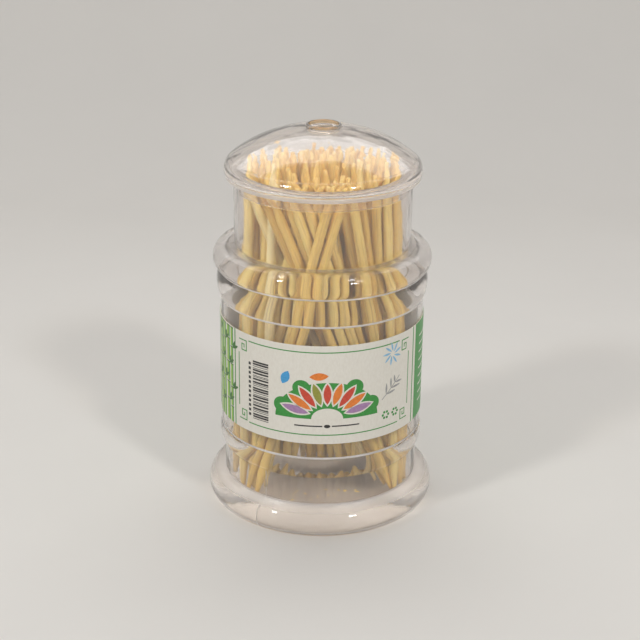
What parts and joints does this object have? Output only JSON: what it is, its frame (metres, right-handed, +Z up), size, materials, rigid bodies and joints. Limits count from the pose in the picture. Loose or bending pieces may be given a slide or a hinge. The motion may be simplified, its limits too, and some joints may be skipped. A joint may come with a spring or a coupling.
{
  "type": "toothpick dispenser",
  "caption": "Clear round jar with a thick rounded foot, a paper label and a push-in domed lid; shaken upside down, it lets toothpicks out of the small hole in its top.",
  "frame": {"origin": "Centre of the foot's underside, on the table.", "axes": "+Z up along the jar's axis; -Y is the front, where the middle of the label's print is."},
  "size_m": [0.0448, 0.0448, 0.0761],
  "materials": {
    "clear_jar_plastic": "clear moulded polystyrene, glossy",
    "clear_lid_plastic": "clear moulded polystyrene, glossy",
    "printed_paper": "coated printed paper label, smooth",
    "toothpick_wood": "pale bamboo, sanded, unfinished"
  },
  "bodies": {
    "jar": {"jar_body": "clear_jar_plastic", "label": "printed_paper", "toothpicks_core_1": "toothpick_wood", "toothpicks_core_2": "toothpick_wood", "toothpicks_core_3": "toothpick_wood", "toothpicks_core_4": "toothpick_wood", "toothpicks_middle_1": "toothpick_wood", "toothpicks_middle_2": "toothpick_wood", "toothpicks_middle_3": "toothpick_wood", "toothpicks_middle_4": "toothpick_wood", "toothpicks_middle_5": "toothpick_wood", "toothpicks_middle_6": "toothpick_wood", "toothpicks_middle_7": "toothpick_wood", "toothpicks_middle_8": "toothpick_wood", "toothpicks_outer_1": "toothpick_wood", "toothpicks_outer_2": "toothpick_wood", "toothpicks_outer_3": "toothpick_wood", "toothpicks_outer_4": "toothpick_wood", "toothpicks_outer_5": "toothpick_wood", "toothpicks_outer_6": "toothpick_wood", "toothpicks_outer_7": "toothpick_wood", "toothpicks_outer_8": "toothpick_wood", "toothpicks_outer_9": "toothpick_wood", "toothpicks_outer_10": "toothpick_wood", "toothpicks_outer_11": "toothpick_wood", "toothpicks_outer_12": "toothpick_wood"},
    "lid": {"lid": "clear_lid_plastic"},
    "toothpick": {"dispensed_toothpick": "toothpick_wood"}
  },
  "joints": [
    {"name": "lid_lift", "type": "slide", "parent": "jar", "child": "lid", "axis": [0, 0, 1], "range_m": [0, 0.045]},
    {"name": "dispense", "type": "slide", "parent": "jar", "child": "toothpick", "axis": [0, 0, 1], "range_m": [0, 0.075]}
  ]
}
